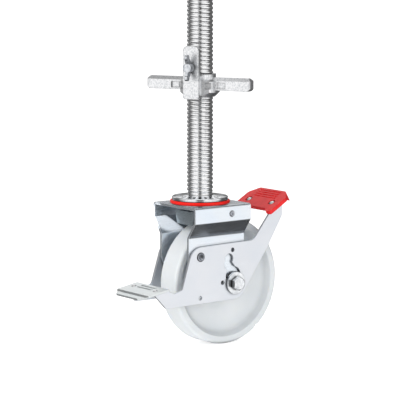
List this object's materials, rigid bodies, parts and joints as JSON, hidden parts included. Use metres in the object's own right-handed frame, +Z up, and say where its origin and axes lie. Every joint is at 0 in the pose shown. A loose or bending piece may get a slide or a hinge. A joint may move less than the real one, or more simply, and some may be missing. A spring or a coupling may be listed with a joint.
{
  "type": "scaffold castor",
  "caption": "Swivel castor for a scaffold tower: threaded spindle with winged height nut, white wheel in a folded fork, and a lever with red lock pedal and release pedal.",
  "frame": {"origin": "centre of the nut's ring seat, where the end of the scaffold tube stands", "axes": "+Z up along the spindle, +X to the trailing side with the lock pedal, Y along the wheel axle"},
  "size_m": [0.2954, 0.1622, 0.655],
  "materials": {
    "zinc_thread": "rolled thread, zinc plated",
    "zinc_bright": "bright zinc plated",
    "zinc_sheet": "blue-white zinc plated sheet",
    "bearing_steel": "ground steel",
    "galvanised_casting": "galvanised malleable casting",
    "nylon_wheel": "natural polyamide",
    "red_pad": "moulded red plastic",
    "red_seal": "red seal"
  },
  "bodies": {
    "spindle": {"spindle": "zinc_thread", "swivel_disc": "zinc_bright", "race_balls": "bearing_steel", "king_nut": "zinc_bright", "thrust_washer": "zinc_bright"},
    "fork": {"fork": "zinc_sheet", "seal_ring": "red_seal", "lower_race": "bearing_steel", "lever_pivots": "zinc_bright", "brake_pin": "zinc_bright"},
    "brake_shoe": {"brake_shoe": "zinc_sheet"},
    "lever": {"lever_plate_near": "zinc_sheet", "lever_plate_far": "zinc_sheet", "release_pedal": "zinc_sheet", "pedal_rivets": "zinc_bright", "lock_bridge": "zinc_sheet", "lock_pad": "red_pad", "pad_rivets": "zinc_bright"},
    "axle": {"axle_tube": "bearing_steel", "axle_bolt": "zinc_bright", "axle_nut": "zinc_bright", "axle_washers": "zinc_bright", "axle_sleeves": "bearing_steel"},
    "wheel": {"wheel": "nylon_wheel", "wheel_bearings": "bearing_steel"},
    "nut": {"adjusting_nut": "galvanised_casting"},
    "wing_screw": {"wing_screw": "zinc_bright"}
  },
  "joints": [
    {"name": "swivel", "type": "hinge", "parent": "spindle", "child": "fork", "pos_m": [0, 0, -0.201], "axis": [0, 0, 1], "continuous": true},
    {"name": "lever_turn", "type": "hinge", "parent": "fork", "child": "lever", "pos_m": [-0.03, 0, -0.279], "axis": [0, 1, 0], "range_deg": [0, 40]},
    {"name": "axle_slide", "type": "slide", "parent": "fork", "child": "axle", "axis": [-1, 0, 0], "range_m": [0, 0.037]},
    {"name": "wheel_spin", "type": "hinge", "parent": "axle", "child": "wheel", "pos_m": [0.037, 0, -0.326], "axis": [0, 1, 0], "continuous": true},
    {"name": "shoe_tilt", "type": "hinge", "parent": "fork", "child": "brake_shoe", "pos_m": [0.02092, 0, -0.2142], "axis": [0, 1, 0], "range_deg": [0, 3]},
    {"name": "nut_travel", "type": "slide", "parent": "spindle", "child": "nut", "axis": [0, 0, 1], "range_m": [-0.148, 0.15]},
    {"name": "wing_turn", "type": "hinge", "parent": "nut", "child": "wing_screw", "pos_m": [-0.03, -0.01529, 0.011], "axis": [-0.891, -0.454, 0], "continuous": true}
  ],
  "couplings": [
    {"joint": "axle_slide", "follows": "lever_turn", "m_per_rad": 0.052998},
    {"joint": "shoe_tilt", "follows": "lever_turn", "ratio": 0.075}
  ]
}
